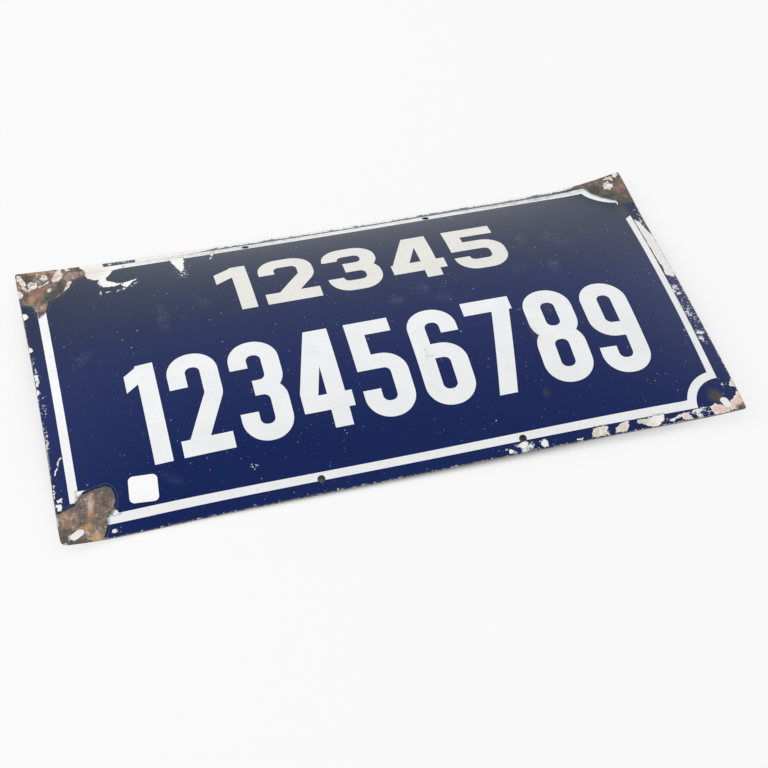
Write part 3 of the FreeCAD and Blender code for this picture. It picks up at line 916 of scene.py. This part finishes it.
def paperFinish():
    material, start, coords = newFinish("label_paper")
    fibre = coords.speckle(3.0, 4)
    cloud = coords.speckle(0.15, 3)
    colour = (fibre * 0.5 + cloud * 0.5).past(0.52, 0.2).mix(paperColours["paper"], paperColours["shade"])
    bump = start.node("Bump", {}, {"Height": fibre * 0.04 + cloud * 0.1, "Distance": mm, "Strength": 0.6})
    surface(start, {"Base Color": colour, "Roughness": paperColours["roughness"], "Normal": bump})
    return material


studio = {
    "focalLength": 82.37,
    "azimuth": -14.973,
    "elevation": 47.176,
    "roll": 0.507,
    "aim": (2.32, -44.67, 1.031),
    "distance": 1428.7,
    "floorSize": 14.0,
    "floorColour": (0.90, 0.90, 0.90),
    "floorGlowWhite": 0.95,
    # how much of the floor's colour is a painted white glow, beside the sheet and then further out as well
    "floorGlow": 0.5,
    "openGlow": 0.3,
    # the floor is dim under the sheet, inside this oval of half sizes in metres
    "shade": (0.245, 0.148),
    "wallStrength": 0.70,
    "wallFade": 0.75,
    "wallLean": 0.4,
    "skyStrength": 0.9,
    "backdropStrength": 0.95,
    "lampPlace": (-2.3, 1.0, 1.5),
    "lampSize": 1.4,
    "lampPower": 30.0,
    "farEnd": 60.0,
}


def studioScene():
    settings = studio
    scene = bpy.context.scene
    turned = (Matrix.Rotation(math.radians(settings["azimuth"]), 4, "Z")
              @ Matrix.Rotation(math.radians(90 - settings["elevation"]), 4, "X")
              @ Matrix.Rotation(math.radians(settings["roll"]), 4, "Z"))
    camera = bpy.data.objects.new("camera", bpy.data.cameras.new("camera"))
    camera.data.lens = settings["focalLength"]
    camera.data.clip_end = settings["farEnd"]
    back = turned.to_3x3() @ Vector((0, 0, settings["distance"] * mm))
    camera.matrix_world = Matrix.Translation(Vector(settings["aim"]) * mm + back) @ turned
    scene.collection.objects.link(camera)
    scene.camera = camera

    bm = bmesh.new()
    bmesh.ops.create_grid(bm, x_segments=4, y_segments=4, size=settings["floorSize"] / 2)
    mesh = bpy.data.meshes.new("floor")
    bm.to_mesh(mesh)
    bm.free()
    floor = bpy.data.objects.new("floor", mesh)
    scene.collection.objects.link(floor)
    material, start, coords = newFinish("floor_paint")
    # most of what the camera sees of the floor is a painted white glow, none under the sheet and more further
    # out, which keeps the shadows light
    painted = start.node("BsdfDiffuse", {}, {"Color": (*settings["floorColour"], 1)})
    glow = start.node("Emission", {}, {"Color": (*[settings["floorGlowWhite"]] * 3, 1)})
    seen = start.node("LightPath", {}, {}, 0).larger(start.node("LightPath", {}, {}, 3))
    beside = [start.node("SeparateXYZ", {}, {0: coords}, axis) * (mm / half)
              for axis, half in enumerate(settings["shade"])]
    outside = start.maths("POWER", beside[0], 4) + start.maths("POWER", beside[1], 4)
    beyond = outside.past(0.95, 0.2) * settings["floorGlow"] + outside.past(1.6, 0.5) * settings["openGlow"]
    seen = seen * beyond
    output = start.tree.nodes.new("ShaderNodeOutputMaterial")
    mixed = start.node("MixShader", {}, {0: seen, 1: painted, 2: glow})
    start.tree.links.new(mixed.socket, output.inputs["Surface"])
    mesh.materials.append(material)

    lamp = bpy.data.objects.new("lamp", bpy.data.lights.new("lamp", "AREA"))
    lamp.data.shape = "SQUARE"
    lamp.data.size = settings["lampSize"]
    lamp.data.energy = settings["lampPower"]
    place = Vector(settings["lampPlace"])
    lamp.matrix_world = Matrix.Translation(place) @ place.to_track_quat("Z", "Y").to_matrix().to_4x4()
    scene.collection.objects.link(lamp)

    # a white room for the camera, pale walls under a dark ceiling in the gloss, an even light on the rest
    world = bpy.data.worlds.new("room")
    scene.world = world
    world.use_nodes = True
    tree = world.node_tree
    tree.nodes.clear()
    start = Wire(tree)
    direction = start.node("TexCoord", {}, {}, 0)
    upward = start.node("SeparateXYZ", {}, {0: direction}, 2)
    rightward = start.node("SeparateXYZ", {}, {0: direction}, 0)
    walls = start.maths("POWER", 1 - upward * upward, settings["wallFade"])
    walls = walls * (rightward * settings["wallLean"] + 1) * settings["wallStrength"]
    isCamera = start.node("LightPath", {}, {}, 0)
    isGlossy = start.node("LightPath", {}, {}, 3)
    strength = isGlossy.node("Mix", {}, {0: isGlossy, 2: settings["skyStrength"], 3: walls})
    strength = isCamera.node("Mix", {}, {0: isCamera, 2: strength, 3: settings["backdropStrength"]})
    background = start.node("Background", {}, {"Color": (1, 1, 1, 1), "Strength": strength})
    output = tree.nodes.new("ShaderNodeOutputWorld")
    tree.links.new(background.socket, output.inputs["Surface"])
    scene.view_settings.view_transform = "Standard"
    print("studio set")


enamels = {
    "blue": enamelFinish("blue_enamel", "blue"),
    "white": enamelFinish("white_enamel", "white"),
    "upper": enamelFinish("cream_white_enamel", "upper"),
}
signSheet([enamels["blue"], backFinish()])
borderLinePiece([enamels["white"]])
for rowName, rowForm in numerals["rows"].items():
    numeralRow(rowName, rowForm, enamels[rowForm["coat"]])
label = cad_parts["paper_label"]
label.data.materials.clear()
label.data.materials.append(paperFinish())
studioScene()
